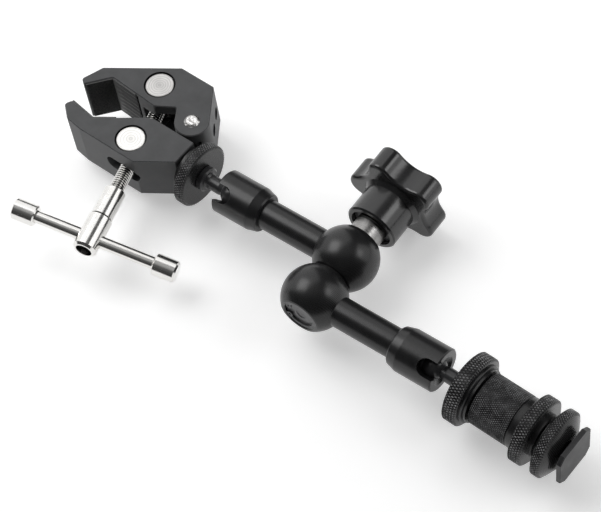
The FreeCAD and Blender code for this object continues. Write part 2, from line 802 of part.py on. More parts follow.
def knob():
    """A moulded star knob on a long round hub."""
    height = knob_top - knob_underside
    star = Part.Face(knob_outline(0)).extrude(V(0, height, 0))
    star.translate(V(0, knob_underside, 0))
    rims = []
    for edge in star.Edges:
        box = edge.BoundBox
        if box.YLength < 1e-6:
            rims.append(edge)
    star = star.makeFillet(knob_edge_round, rims)
    star = moved(star, Placement(V(), Rotation(Y_AXIS, knob_phase)))
    hub = elbow_turned([
        (knob_rim, 0), (knob_rim, knob_hub_radius - 0.6), (knob_rim + 0.6, knob_hub_radius),
        (knob_underside - 1.6, knob_hub_radius), (knob_underside + 0.4, knob_flare_radius),
        (knob_underside + 2.0, knob_flare_radius), (knob_underside + 2.0, 0),
    ])
    recess_floor = knob_rim + knob_recess_depth
    hollow = elbow_turned([
        (knob_rim - 1, 0), (knob_rim - 1, knob_recess_radius), (recess_floor, knob_recess_radius),
        (recess_floor, bolt_radius + 0.5), (bush_start, bolt_radius + 0.5), (bush_start, bush_radius),
        (bush_end, bush_radius), (bush_end, bolt_radius + 0.5), (bolt_end + 1.5, bolt_radius + 0.5),
        (bolt_end + 1.5, 0),
    ])
    return star.fuse(hub).removeSplitter().cut(hollow)


def knob_bush():
    bore = bolt_radius + running
    return elbow_turned([(bush_start, bore), (bush_start, bush_radius), (bush_end, bush_radius), (bush_end, bore)])


def knob_washer():
    top = knob_rim + knob_recess_depth
    low = top - knob_washer_height
    bore = bolt_radius + 0.2
    return elbow_turned([(low, bore), (low, knob_washer_radius), (top, knob_washer_radius), (top, bore)])


# Shoe adapter, drawn along X outwards from the second ball's centre

def grip_barrel():
    """The knurled extension barrel, threaded from both ends."""
    collar = grip_end - grip_collar_width
    outside = turned([
        (RING_END, 0), (RING_END, grip_radius - 0.5), (RING_END + 0.5, grip_radius), (collar - 0.5, grip_radius),
        (collar - 0.5, grip_radius - grip_groove), (collar, grip_radius - grip_groove), (collar, grip_radius),
        (grip_end - 0.4, grip_radius), (grip_end, grip_radius - 0.4), (grip_end, 0),
    ])
    stud_hole = rod(RING_END - 1, RING_END + stud_grip, thread_radius + running)
    stem_hole = rod(stem_start - 0.5, grip_end + 1, thread_radius + running)
    return outside.cut(stud_hole).cut(stem_hole)


def jam_wheel():
    bore = thread_radius + running
    return turned([(jam_wheel_start, bore)] + disc_wheel(jam_wheel_start, jam_wheel_end, jam_wheel_radius,
                  wheel_bevel) + [(jam_wheel_end, wheel_hub_radius), (jam_hub_end, wheel_hub_radius),
                  (jam_hub_end, bore)])


def clamp_wheel():
    """The wheel that tightens down on a shoe, with a turned conical outer face."""
    bore = thread_radius + running
    rim = disc_wheel(clamp_wheel_start, clamp_wheel_end, clamp_wheel_radius, wheel_bevel)
    return turned([(clamp_hub_start, bore), (clamp_hub_start, wheel_hub_radius), (clamp_wheel_start,
                  wheel_hub_radius)] + rim + [(clamp_cone_end, clamp_cone_radius), (clamp_cone_end, bore)])


def shoe_foot():
    """A square shoe foot with cut corners and a round boss."""
    half = foot_side / 2
    cut = foot_corner
    corners = []
    for sx, sy in ((1, 1), (-1, 1), (-1, -1), (1, -1)):
        first = (sx * half, sy * (half - cut), 0)
        second = (sx * (half - cut), sy * half, 0)
        corners += [first, second] if sx * sy > 0 else [second, first]
    plate = prism(corners, foot_inner, foot_inner + foot_thickness)
    plate = plate.makeChamfer(0.3, [e for e in plate.Edges if e.BoundBox.ZLength < 1e-6])
    plate = moved(plate, Placement(V(), Rotation(Y_AXIS, 90)))
    return plate.fuse(rod(foot_inner - foot_boss_height, foot_inner, foot_boss_radius)).cut(stem_core())


def stem_core():
    return rod(stem_start, foot_inner + foot_thickness - 0.6, thread_radius)


def shoe_stem():
    """The threaded stem, pressed into the foot."""
    end = foot_inner + foot_thickness - 0.6
    return turned([(stem_start, 0), (stem_start, thread_radius - 0.6), (stem_start + 0.6, thread_radius),
                   (end, thread_radius), (end, 0)])


# Where each group stands

def clamp_frame():
    return Placement(V(pivot_x, pivot_y, 0), Rotation())


def first_ball():
    """The clamp-side ball centre."""
    return V(pivot_x + seat_x + RING_END, pivot_y + stud_axis_y, 0)


def first_stud_frame():
    return Placement(first_ball(), Rotation(Z_AXIS, 180))


def first_arm_frame():
    return Placement(first_ball(), Rotation(Z_AXIS, arm_yaw))


def first_knuckle_frame():
    return first_arm_frame().multiply(Placement(V(arm_length, 0, 0), Rotation()))


def second_knuckle_frame():
    """The shoe-side knuckle: turned over so that its outer face looks down the knob axis."""
    centre = Placement(V(0, -2 * knuckle_half, 0), Rotation(Y_AXIS, elbow_bend))
    return first_knuckle_frame().multiply(centre).multiply(Placement(V(), Rotation(Z_AXIS, 180)))


def second_arm_frame():
    """Origin at the second ball, +X back towards the elbow."""
    return second_knuckle_frame().multiply(Placement(V(-arm_length, 0, 0), Rotation()))


def second_socket_frame():
    """As the second arm's frame, rolled so that both slots open to the same side."""
    return second_arm_frame().multiply(Placement(V(), Rotation(X_AXIS, -2 * (slot_angle - 90))))


def second_stud_frame():
    ball = second_arm_frame()
    level = Rotation(Z_AXIS, arm_yaw + adapter_yaw)
    return Placement(ball.Base, level)


def build():
    clamp = clamp_frame()
    screw = clamp.multiply(screw_place())
    bar = clamp.multiply(bar_place())
    knob_frame = first_knuckle_frame()
    far_knuckle = second_knuckle_frame()
    return {
        "lower_jaw": moved(lower_jaw(), clamp),
        "lower_pad": moved(lower_pad(), clamp),
        "upper_jaw": moved(upper_jaw(), clamp),
        "upper_pad": moved(upper_pad(), clamp),
        "pivot_rivet": moved(pivot_rivet(), clamp),
        "upper_cross_pin": moved(upper_barrel(), clamp),
        "lower_cross_pin": moved(lower_barrel(), clamp),
        "clamp_screw": moved(clamp_screw(), screw),
        "screw_thrust_ring": moved(thrust_ring(), screw),
        "screw_tip_clip": moved(tip_clip(), screw),
        "screw_hub": moved(hub_in_bar_roll(), screw),
        "sliding_bar": moved(sliding_bar(), bar),
        "bar_cap_left": moved(bar_cap(-1), bar),
        "bar_cap_right": moved(bar_cap(1), bar),
        "clamp_lock_ring": moved(lock_ring(clamp_ring_radius, 0.0), first_stud_frame()),
        "clamp_ball_stud": moved(ball_stud(), first_stud_frame()),
        "clamp_ball_cup": moved(ball_cup(), first_arm_frame()),
        "clamp_side_socket": moved(socket(), first_arm_frame()),
        "clamp_side_tube": moved(tube(), first_arm_frame()),
        "clamp_side_push_rod": moved(push_rod(), first_arm_frame()),
        "clamp_side_knuckle": moved(knuckle(collar_mouth()), knob_frame),
        "friction_washer": moved(friction_washer(), knob_frame),
        "tension_bolt": moved(tension_bolt(), knob_frame),
        "knob_side_cone": moved(cone(), knob_frame),
        "head_side_cone": moved(fixed_cone(), far_knuckle),
        "thrust_collar": moved(thrust_collar(), knob_frame),
        "knob": moved(knob(), knob_frame),
        "knob_bush": moved(knob_bush(), knob_frame),
        "knob_washer": moved(knob_washer(), knob_frame),
        "shoe_side_knuckle": moved(knuckle(cover_mouth()), far_knuckle),
        "cover_disc": moved(cover_disc(), far_knuckle),
        "retaining_ring": moved(retaining_ring(), far_knuckle),
        "shoe_side_tube": moved(tube(), second_arm_frame()),
        "shoe_side_push_rod": moved(push_rod(), second_arm_frame()),
        "shoe_side_socket": moved(socket(), second_socket_frame()),
        "shoe_ball_cup": moved(ball_cup(), second_arm_frame()),
        "shoe_ball_stud": moved(ball_stud(), second_stud_frame()),
        "shoe_lock_ring": moved(lock_ring(adapter_ring_radius, adapter_ring_lead), second_stud_frame()),
        "grip_barrel": moved(grip_barrel(), second_stud_frame()),
        "jam_wheel": moved(jam_wheel(), second_stud_frame()),
        "clamp_wheel": moved(clamp_wheel(), second_stud_frame()),
        "shoe_foot": moved(shoe_foot(), second_stud_frame()),
        "shoe_stem": moved(shoe_stem(), second_stud_frame()),
    }


def hub_in_bar_roll():
    """The hub turned so that its cross hole lines up with the bar."""
    frame = screw_place()
    bar = bar_place()
    local = frame.Rotation.inverted().multVec(bar.Rotation.multVec(X_AXIS))
    turn = math.degrees(math.atan2(local.z, local.y)) - 90
    return moved(screw_hub(), Placement(V(), Rotation(X_AXIS, turn)))


def main():
    os.makedirs("parts", exist_ok=True)
    for name, shape in build().items():
        shape.exportStep(f"parts/{name}.step")


main()
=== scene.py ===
"""Looks of the articulating friction arm: finishes, threads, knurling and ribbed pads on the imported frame.

Shapes are worked out in millimetres in each group's own frame, as the part is, and scaled once.
"""
import math

import bmesh
import bpy
from mathutils import Matrix, Vector

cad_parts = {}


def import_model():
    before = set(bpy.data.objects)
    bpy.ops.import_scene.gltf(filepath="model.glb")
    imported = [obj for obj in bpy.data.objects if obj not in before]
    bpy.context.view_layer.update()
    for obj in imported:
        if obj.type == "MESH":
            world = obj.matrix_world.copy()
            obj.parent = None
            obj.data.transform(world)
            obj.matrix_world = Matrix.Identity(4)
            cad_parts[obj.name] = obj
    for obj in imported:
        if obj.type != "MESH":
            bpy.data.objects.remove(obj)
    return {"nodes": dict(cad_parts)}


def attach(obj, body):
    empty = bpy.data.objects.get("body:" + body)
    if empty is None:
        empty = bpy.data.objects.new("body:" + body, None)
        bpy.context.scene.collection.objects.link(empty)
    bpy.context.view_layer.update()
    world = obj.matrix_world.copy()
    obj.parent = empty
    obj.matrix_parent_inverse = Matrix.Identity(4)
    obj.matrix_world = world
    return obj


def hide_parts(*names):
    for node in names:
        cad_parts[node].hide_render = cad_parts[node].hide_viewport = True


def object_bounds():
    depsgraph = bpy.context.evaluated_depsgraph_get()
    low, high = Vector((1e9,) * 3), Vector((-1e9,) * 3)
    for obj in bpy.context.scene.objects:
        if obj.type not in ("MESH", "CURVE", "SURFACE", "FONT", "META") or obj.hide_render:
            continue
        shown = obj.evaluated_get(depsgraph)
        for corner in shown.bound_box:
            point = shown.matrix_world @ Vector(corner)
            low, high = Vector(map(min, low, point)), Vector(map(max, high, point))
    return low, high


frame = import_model()
NODES = frame["nodes"]
CAD_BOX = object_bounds()
MM = 0.001

# Sizes shared with the part, in millimetres
running = 0.05
slack = 0.25
pivot_x, pivot_y = 36.3, 11.3
jaw_width = 22.3
upper_pin = (23.08, 163.8)
lower_pin = (24.83, 233.6)
pin_rim_radius = 6.35
pad_thickness = 2.2
pad_side_margin = 1.3
pad_proud = 0.45
seat_x = 7.2
screw_radius = 3.0
screw_tip_radius = 2.3
thrust_ring_height = 0.8
barrel_flat = 4.6
tip_clip_height = 0.8
sleeve_start = 18.2
hub_start = 32.0
hub_end = 47.5
hub_recess_radius = 3.3
hub_recess_depth = 3.2
bar_station = 41.5
bar_roll = 9.8
stud_axis_y = -12.7
flange_radius = 5.1
ring_start = 14.7
thread_radius = 3.175
knurl_width = 4.6
ring_step_width = 1.2
ring_step_drop = 2.2
ring_boss_radius = 5.7
ring_boss_height = 0.5
adapter_ring_lead = 1.5
clamp_ring_radius = 13.3
adapter_ring_radius = 14.3
arm_length = 54.2
knuckle_half = 10.2
grip_radius = 10.45
grip_end = 41.6
grip_collar_width = 2.6
stud_grip = 10.5
stem_start = 35.5
jam_wheel_radius = 13.7
jam_wheel_start = 41.8
jam_wheel_end = 47.3
wheel_hub_radius = 8.8
jam_hub_end = 49.2
clamp_wheel_radius = 13.7
clamp_hub_start = 49.8
clamp_wheel_start = 51.4
clamp_wheel_end = 55.5
clamp_cone_end = 58.4
clamp_cone_radius = 7.6
wheel_bevel = 0.7
foot_inner = 60.3
foot_thickness = 2.0
arm_yaw = 2.2
adapter_yaw = -2.9
elbow_bend = -0.2

# Sizes in millimetres, counts and shares of the detail that only this script adds
face_gap = 0.02
rim_drop = 1.1
wheel_rim_drop = 1.2
break_edge = 0.1
points_per_tooth = 6
knurl_sharpness = 1.7
knurl_depth = 0.6
knurl_steps = 4
barrel_knurl_depth = 0.36
barrel_knurl_steps = 20
clamp_ring_teeth = 70
adapter_ring_teeth = 76
barrel_teeth = 74
wheel_teeth = 72
thread_depth = 0.55
screw_pitch = 1.0
stem_pitch = 1.27
lip_gap = 0.55
pad_end_cut = 0.9
lower_pad_lift = 0.35
diamond_length = 0.42
diamond_width = 0.84
diamond_depth = 0.36
rib_pitch = 2.7
rib_depth = 0.55
rib_run_in = 0.35

HALF_WIDTH = jaw_width / 2
RING_END = ring_start + knurl_width + 2 * ring_step_width + ring_boss_height


# Frames of the groups

def shift(x, y, z):
    return Matrix.Translation((x, y, z))


def turn(degrees, axis):
    return Matrix.Rotation(math.radians(degrees), 4, axis)


def polar(reach, degrees):
    angle = math.radians(degrees)
    return Vector((reach * math.cos(angle), reach * math.sin(angle), 0))


UPPER_PIN = polar(*upper_pin)
LOWER_PIN = polar(*lower_pin)
PIN_SPAN = (LOWER_PIN - UPPER_PIN).length
SCREW_WAY = (LOWER_PIN - UPPER_PIN).normalized()

CLAMP = shift(pivot_x, pivot_y, 0)
SCREW = CLAMP @ shift(*UPPER_PIN) @ turn(math.degrees(math.atan2(SCREW_WAY.y, SCREW_WAY.x)), "Z")
FIRST_BALL = shift(pivot_x + seat_x + RING_END, pivot_y + stud_axis_y, 0)
FIRST_STUD = FIRST_BALL @ turn(180, "Z")
FIRST_ARM = FIRST_BALL @ turn(arm_yaw, "Z")
FIRST_KNUCKLE = FIRST_ARM @ shift(arm_length, 0, 0)
SECOND_KNUCKLE = FIRST_KNUCKLE @ shift(0, -2 * knuckle_half, 0) @ turn(elbow_bend, "Y") @ turn(180, "Z")
SECOND_ARM = SECOND_KNUCKLE @ shift(-arm_length, 0, 0)
SECOND_STUD = Matrix.Translation(SECOND_ARM.translation) @ turn(arm_yaw + adapter_yaw, "Z")


def bar_frame():
    """Origin where the bar crosses the screw, X along the bar."""
    centre = UPPER_PIN + SCREW_WAY * (PIN_SPAN + bar_station)
    level = Vector((-SCREW_WAY.y, SCREW_WAY.x, 0))
    way = Matrix.Rotation(math.radians(-bar_roll), 3, SCREW_WAY) @ level
    rotation = Vector((1, 0, 0)).rotation_difference(way).to_matrix().to_4x4()
    return CLAMP @ Matrix.Translation(centre) @ rotation


BAR = bar_frame()


# Mesh building

def add_piece(name, points, faces, place, body, finish, stands_for=(), sharp=30):
    """A mesh from points in a group's frame, riding on a body in place of CAD nodes."""
    mesh = bpy.data.meshes.new(name)
    mesh.from_pydata(points, [], faces)
    work = bmesh.new()
    work.from_mesh(mesh)
    bmesh.ops.remove_doubles(work, verts=work.verts, dist=1e-4)
    bmesh.ops.recalc_face_normals(work, faces=work.faces)
    work.to_mesh(mesh)
    work.free()
    mesh.transform(Matrix.Scale(MM, 4) @ place)
    mesh.shade_smooth()
    mesh.set_sharp_from_angle(angle=math.radians(sharp))
    mesh.materials.append(finish)
    piece = bpy.data.objects.new(name, mesh)
    bpy.context.scene.collection.objects.link(piece)
    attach(piece, body)
    if stands_for:
        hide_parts(*stands_for)


def lathe(rows, segments, teeth=0):
    """A closed ring of (x, radius, cut, step) rows turned about X.

    Rows with a cut carry a diamond knurl that deep, and step is their place along it in half pitches.
    """
    points = []
    for x, radius, cut, step in rows:
        for i in range(segments):
            angle = 2 * math.pi * i / segments
            here = radius - cut * groove(2 * teeth * i / segments, step) if cut else radius
            points.append((x, here * math.cos(angle), here * math.sin(angle)))
    faces = []
    for j in range(len(rows)):
        after = (j + 1) % len(rows)
        for i in range(segments):
            k = (i + 1) % segments
            faces.append((j * segments + i, j * segments + k, after * segments + k, after * segments + i))
    return points, faces


def groove(around, along):
    """Depth share of a knurl of blunt pyramids, at a place counted in half pitches."""
    near = round(around)
    best = 1.0
    for a in (near - 1, near, near + 1):
        for b in (math.floor(along) - 1, math.floor(along), math.floor(along) + 1, math.floor(along) + 2):
            if (a + b) % 2 == 0:
                best = min(best, abs(around - a) + abs(along - b))
    return 1.0 - min(1.0, (1.0 - best) * knurl_sharpness)


def plain(*corners):
    """Rows for lathe without a knurl."""
    return [(x, radius, 0.0, 0.0) for x, radius in corners]


def knurl(start, end, radius, depth, steps, fineness=3):
    """Rows of a diamond knurl between two stations, steps half pitches long."""
    count = steps * fineness
    return [(start + (end - start) * j / count, radius, depth, j / fineness) for j in range(count + 1)]


def thread(start, end, radius, pitch, hand=1, segments=64):
    """A screw thread about X between two stations, cut to its root and open at both ends.

    Its rows follow the helix.
    """
    root = radius - thread_depth
    shape = [(0.0, root), (0.12, root), (0.46, radius), (0.58, radius)]
    count = len(shape)
    rows = (int((end - start) / pitch) + 4) * count
    points, faces = [], []
    for i in range(segments):
        angle = 2 * math.pi * i / segments
        for j in range(rows):
            share, height = shape[j % count]
            x = start + pitch * (j // count - 2 + share + hand * i / segments)
            inside = min(max(x, start), end)
            here = min(height, root + min(inside - start, end - inside))
            points.append((inside, here * math.cos(angle), here * math.sin(angle)))
        k = (i + 1) % segments
        step = hand * count if i == segments - 1 else 0
        for j in range(rows - 1):
            far = j + step
            if 0 <= far < rows - 1:
                faces.append((i * rows + j, i * rows + j + 1, k * rows + far + 1, k * rows + far))
    return points, faces


def joined(*meshes):
    """Several point and face lists as one."""
    points, faces = [], []
    for more_points, more_faces in meshes:
        base = len(points)
        points += more_points
        faces += [tuple(n + base for n in face) for face in more_faces]
    return points, faces


# Finishes

# A wave texture of this scale repeats once to a unit
unit_wave = 0.314

# Marks, grain and the width of the painted highlight along rubbed edges, in millimetres
turning_pitch = 0.35
turning_relief = 0.004
polish_pitch = 0.2
polish_relief = 0.0012
worn_edge_highlight_width = 0.45
blast_grain = 9.0
blast_relief = 0.006
# Inner radius of the painted shade round the cross pins
pin_shade_start = 5.0
past_the_part = 99.0

# What each coordinate counts in a distance from the Z or the X axis
AROUND_Z = (1.0, 1.0, 0.0)
AROUND_X = (0.0, 1.0, 1.0)

# Noise drawn out into streaks that run round the X axis, and the share of the steel's colour kept where
# shade is painted into the screw's thread roots
ROUND_STREAKS = (2.4, 0.12, 0.12)
painted_shade_share = 0.05


class Finish:
    """A node-based material under construction, with object coordinates in millimetres."""

    def __init__(self, name, slot, colour, metallic, specular=0.5):
        self.material = bpy.data.materials.new(name)
        self.material.use_nodes = True
        self.material["slot"] = slot
        self.tree = self.material.node_tree
        self.shader = self.tree.nodes["Principled BSDF"]
        self.shader.inputs["Metallic"].default_value = metallic
        self.shader.inputs["Specular IOR Level"].default_value = specular
        self.colour = colour
        scaled = self.node("ShaderNodeVectorMath", operation="SCALE")
        scaled.inputs["Scale"].default_value = 1 / MM
        self.link(self.node("ShaderNodeTexCoord").outputs["Object"], scaled.inputs[0])
        self.place = scaled.outputs[0]
        self.normal = None

    def node(self, kind, **settings):
        """A new node with its settings."""
        made = self.tree.nodes.new(kind)
        for key, value in settings.items():
            setattr(made, key, value)
        return made

    def link(self, source, target):
        self.tree.links.new(source, target)

    def noise(self, scale, detail, stretch=None, place=None):
        """Cloudy noise with about scale lumps to a millimetre."""
        made = self.node("ShaderNodeTexNoise")
        made.inputs["Scale"].default_value = scale
        made.inputs["Detail"].default_value = detail
        source = place or self.place
        if stretch:
            mapping = self.node("ShaderNodeMapping")
            mapping.inputs["Scale"].default_value = stretch
            self.link(source, mapping.inputs["Vector"])
            source = mapping.outputs[0]
        self.link(source, made.inputs["Vector"])
        return made.outputs["Fac"]

    def spread(self, value, low, high, from_low=0.3, from_high=0.7):
        """A value mapped to a range."""
        made = self.node("ShaderNodeMapRange")
        self.link(value, made.inputs["Value"])
        made.inputs["From Min"].default_value = from_low
        made.inputs["From Max"].default_value = from_high
        made.inputs["To Min"].default_value = low
        made.inputs["To Max"].default_value = high
        return made.outputs["Result"]

    def bump(self, height, distance, strength=1.0):
        """Adds relief of a distance in millimetres."""
        made = self.node("ShaderNodeBump")
        made.inputs["Strength"].default_value = strength
        made.inputs["Distance"].default_value = distance * MM
        self.link(height, made.inputs["Height"])
        if self.normal:
            self.link(self.normal, made.inputs["Normal"])
        self.normal = made.outputs["Normal"]

    def local(self, frame_matrix):
        """Coordinates in a group's own frame, in millimetres."""
        inverse = frame_matrix.inverted()
        mapping = self.node("ShaderNodeMapping", vector_type="POINT")
        mapping.inputs["Location"].default_value = inverse.translation
        mapping.inputs["Rotation"].default_value = inverse.to_euler()
        self.link(self.place, mapping.inputs["Vector"])
        return mapping.outputs[0]

    def reach(self, place, across=AROUND_X):
        """Distance from an axis of a group's frame, X unless told otherwise."""
        flat = self.node("ShaderNodeVectorMath", operation="MULTIPLY")
        flat.inputs[1].default_value = across
        self.link(place, flat.inputs[0])
        length = self.node("ShaderNodeVectorMath", operation="LENGTH")
        self.link(flat.outputs[0], length.inputs[0])
        return length.outputs["Value"]

    def station(self, place, start, end):
        """One between two stations along the X axis of a group's frame, nought outside."""
        split = self.node("ShaderNodeSeparateXYZ")
        self.link(place, split.inputs[0])
        middle, half = (start + end) / 2, (end - start) / 2
        near = self.node("ShaderNodeMath", operation="COMPARE")
        self.link(split.outputs["X"], near.inputs[0])
        near.inputs[1].default_value = middle
        near.inputs[2].default_value = half
        return near.outputs[0]

    def waves(self, place, pitch, wander, **ways):
        """Even marks with a pitch in millimetres, bent by their wander."""
        made = self.node("ShaderNodeTexWave", wave_profile="SIN", **ways)
        made.inputs["Scale"].default_value = unit_wave / pitch
        made.inputs["Distortion"].default_value = wander
        made.inputs["Detail"].default_value = 2.0
        self.link(place, made.inputs["Vector"])
        return made

    def rings(self, place, pitch, wander):
        """Turning marks round the Z axis of a group's frame."""
        made = self.waves(place, pitch, wander, wave_type="RINGS", rings_direction="Z")
        made.inputs["Detail Scale"].default_value = 1.5
        return made.outputs["Fac"]

    def bands(self, place, pitch, wander=0.8):
        """Marks one after another along the X axis, so that they run round a turned piece."""
        return self.waves(place, pitch, wander, wave_type="BANDS", bands_direction="X").outputs["Fac"]

    def edges(self, radius):
        """One at edges and nought on open faces, from how far a rounded normal leans from the true one."""
        rounded = self.node("ShaderNodeBevel", samples=6)
        rounded.inputs["Radius"].default_value = radius * MM
        true_normal = self.node("ShaderNodeNewGeometry").outputs["Normal"]
        lean = self.node("ShaderNodeVectorMath", operation="DOT_PRODUCT")
        self.link(rounded.outputs[0], lean.inputs[0])
        self.link(true_normal, lean.inputs[1])
        return self.spread(lean.outputs["Value"], 1.0, 0.0, 0.86, 0.995)

    def mix(self, share, first, second):
        """A colour between two, each a colour or a socket."""
        made = self.node("ShaderNodeMix", data_type="RGBA")
        self.link(share, made.inputs["Factor"])
        colours = [s for s in made.inputs if s.type == "RGBA"]
        for socket, value in zip(colours, (first, second)):
            if isinstance(value, bpy.types.NodeSocket):
                self.link(value, socket)
            else:
                socket.default_value = (*value, 1.0)
        return next(s for s in made.outputs if s.type == "RGBA")

    def times(self, first, second):
        """The product of two values, kept between nought and one."""
        made = self.node("ShaderNodeMath", operation="MULTIPLY", use_clamp=True)
        self.link(first, made.inputs[0])
        self.link(second, made.inputs[1])
        return made.outputs[0]

    def done(self, colour, roughness):
        """The finished material, its colour and roughness each a socket."""
        self.link(colour, self.shader.inputs["Base Color"])
        self.link(roughness, self.shader.inputs["Roughness"])
        if self.normal:
            self.link(self.normal, self.shader.inputs["Normal"])
        self.material.diffuse_color = (*self.colour, 1.0)
        return self.material


def tint(colour, factor):
    return tuple(min(1.0, c * factor) for c in colour)


def anodised(name, slot, colour, roughness, worn_edge_highlight_colour, painted_shade_rings=()):
    """Blasted and anodised aluminium with a painted highlight along its edges, patchy like rubbed wear.

    Painted shade lies in rings round upright axes, each an (axis, inner, outer).
    """
    finish = Finish(name, slot, colour, 0.1, 0.28)
    clouds = finish.noise(0.16, 4.0)
    finish.bump(finish.noise(blast_grain, 2.0), blast_relief)
    # Painted highlight along the edges, broken up by noise like rubbed wear
    wear_and_highlight = finish.times(finish.edges(worn_edge_highlight_width), finish.spread(finish.noise(1.4, 4.0), 0.15, 1.0))
    base = finish.mix(finish.spread(clouds, 0, 1), tint(colour, 0.85), tint(colour, 1.15))
    shade = finish.mix(wear_and_highlight, base, worn_edge_highlight_colour)
    for axis, inner, outer in painted_shade_rings:
        far = finish.reach(finish.local(axis), AROUND_Z)
        past_inner = finish.spread(far, 0, 1, inner - 0.05, inner)
        band = finish.times(past_inner, finish.spread(far, 1, 0, outer, outer + 0.1))
        # Painted shade: a dark ring on the jaw round each cross pin, standing in for the shade in its groove
        shade = finish.mix(band, shade, tint(colour, 0.06))
    return finish.done(shade, finish.spread(clouds, roughness - 0.04, roughness + 0.05))


def turned(name, slot, colour, roughness, place):
    """Black anodising over turning marks that run round the part's axis, not yet done.

    Gives the finish, its coordinates, its colour and its roughness.
    """
    finish = Finish(name, slot, colour, 0.0, 0.45)
    local = finish.local(place)
    marks = finish.bands(local, turning_pitch)
    finish.bump(marks, turning_relief)
    base = finish.mix(finish.spread(finish.noise(0.2, 3.0), 0, 1), tint(colour, 0.8), tint(colour, 1.2))
    return finish, local, base, finish.spread(marks, roughness - 0.03, roughness + 0.05, 0, 1)


def turned_black(name, slot, colour, roughness, place):
    """Turned black with a fine grain and a painted highlight along its edges, patchy like rubbed wear."""
    finish, _, base, rough = turned(name, slot, colour, roughness, place)
    finish.bump(finish.noise(6.0, 2.0), 0.002)
    # Painted highlight along the edges, broken up by noise like rubbed wear
    wear_and_highlight = finish.times(finish.edges(0.3), finish.spread(finish.noise(1.8, 4.0), 0.0, 0.9))
    return finish.done(finish.mix(wear_and_highlight, base, (0.12, 0.12, 0.125)), rough)


def knurled_black(name, slot, colour, roughness, place, crest, depth=0.3, end=past_the_part,
                  worn_crest_highlight=(0.27, 0.27, 0.275)):
    """Turned black with a painted highlight, patchy like wear, on the points of the knurl, between the
    frame's origin and an end.
    """
    finish, local, base, rough = turned(name, slot, colour, roughness, place)
    # Painted highlight on the knurl's points, standing in for their glints, broken up like wear
    tip = finish.spread(finish.reach(local), 0.0, 1.0, crest - depth, crest - 0.02)
    wear_and_highlight = finish.times(tip, finish.spread(finish.noise(0.5, 3.0), 0.15, 1.0, 0.35, 0.65))
    wear_and_highlight = finish.times(wear_and_highlight, finish.station(local, 0.0, end))
    return finish.done(finish.mix(wear_and_highlight, base, worn_crest_highlight), rough)


def plated(name, slot, colour, roughness, place):
    """Plated or polished steel with faint turning marks and handling haze, not yet done.

    Gives the finish, its coordinates, its colour and its roughness.
    """
    finish = Finish(name, slot, colour, 1.0)
    local = finish.local(place)
    finish.bump(finish.bands(local, polish_pitch, 1.5), polish_relief)
    shade = finish.mix(finish.spread(finish.noise(0.35, 5.0), 0, 1), tint(colour, 0.93), colour)
    streaks = finish.noise(1.0, 3.0, ROUND_STREAKS, local)
    return finish, local, shade, finish.spread(streaks, roughness * 0.7, roughness * 1.7)


def polished(name, slot, colour, roughness, place):
    """Clean plated or polished steel."""
    finish, _, shade, rough = plated(name, slot, colour, roughness, place)
    return finish.done(shade, rough)


def screw_finish(name, slot, colour, roughness, place):
    """Polished steel with painted shade in the thread's roots, at the hub's joint and in the hub's recess.
    """
    finish, local, shade, rough = plated(name, slot, colour, roughness, place)
    far = finish.reach(local)
    roots = finish.spread(far, 1, 0, screw_radius - 0.5, screw_radius - 0.1)
    # Painted shade in the thread's roots
    shade = finish.mix(roots, shade, tint(colour, painted_shade_share))
    joint = finish.station(local, PIN_SPAN + hub_start - 0.45, PIN_SPAN + hub_start)
    # Painted shade: a dark line where the sleeve meets the hub
    shade = finish.mix(joint, shade, tint(colour, 0.09))
    bore = finish.spread(far, 1, 0, hub_recess_radius + 0.02, hub_recess_radius + 0.06)
    recess_floor = PIN_SPAN + hub_end - hub_recess_depth - 0.1
    inside = finish.station(local, recess_floor, PIN_SPAN + hub_end - 0.1)
    # Painted shade inside the hub's recess
    return finish.done(finish.mix(finish.times(bore, inside), shade, tint(colour, 0.16)), rough)


def faced_steel(name, slot, colour, roughness, place, pitch):
    """A steel face with concentric marks of a facing cut about its own axis, dark towards its middle."""
    finish = Finish(name, slot, colour, 1.0)
    local = finish.local(place)
    marks = finish.rings(local, pitch, 0.5)
    finish.bump(marks, 0.012)
    shade = finish.mix(finish.spread(finish.noise(0.6, 4.0), 0, 1), tint(colour, 0.9), colour)
    broad = finish.spread(finish.rings(local, 2.3 * pitch, 1.6), 0.0, 0.45, 0.2, 1)
    shade = finish.mix(broad, shade, tint(colour, 0.45))
    middle = finish.spread(finish.reach(local, AROUND_Z), 0.4, 0.0, 0.3, 2.6)
    shade = finish.mix(middle, shade, tint(colour, 0.5))
    return finish.done(shade, finish.spread(marks, roughness, roughness + 0.12, 0, 1))


def peened_steel(name, slot, colour, roughness):
    """A rivet head dented by the peening tool."""
    finish = Finish(name, slot, colour, 1.0)
    dents = finish.noise(0.75, 1.5)
    finish.bump(dents, 0.5, 0.8)
    finish.bump(finish.noise(3.5, 3.0), 0.03)
    shade = finish.mix(finish.spread(dents, 0, 1), tint(colour, 0.75), colour)
    return finish.done(shade, finish.spread(dents, roughness, roughness + 0.15))


def moulded(name, slot, colour, roughness, relief, scale, specular):
    """Moulded plastic or rubber with a fine skin."""
    finish = Finish(name, slot, colour, 0.0, specular)
    skin = finish.noise(scale, 3.0)
    finish.bump(skin, relief)
    flow = finish.noise(0.12, 4.0)
    finish.bump(flow, 0.12, 0.35)
    # Painted highlight along the edges, broken up by noise like rubbed wear
    wear_and_highlight = finish.times(finish.edges(0.35), finish.spread(finish.noise(1.2, 3.0), 0.0, 0.8))
    base = finish.mix(finish.spread(flow, 0, 1), tint(colour, 0.85), tint(colour, 1.2))
    shade = finish.mix(wear_and_highlight, base, tint(colour, 3.0))
    return finish.done(shade, finish.spread(flow, roughness - 0.05, roughness + 0.07))


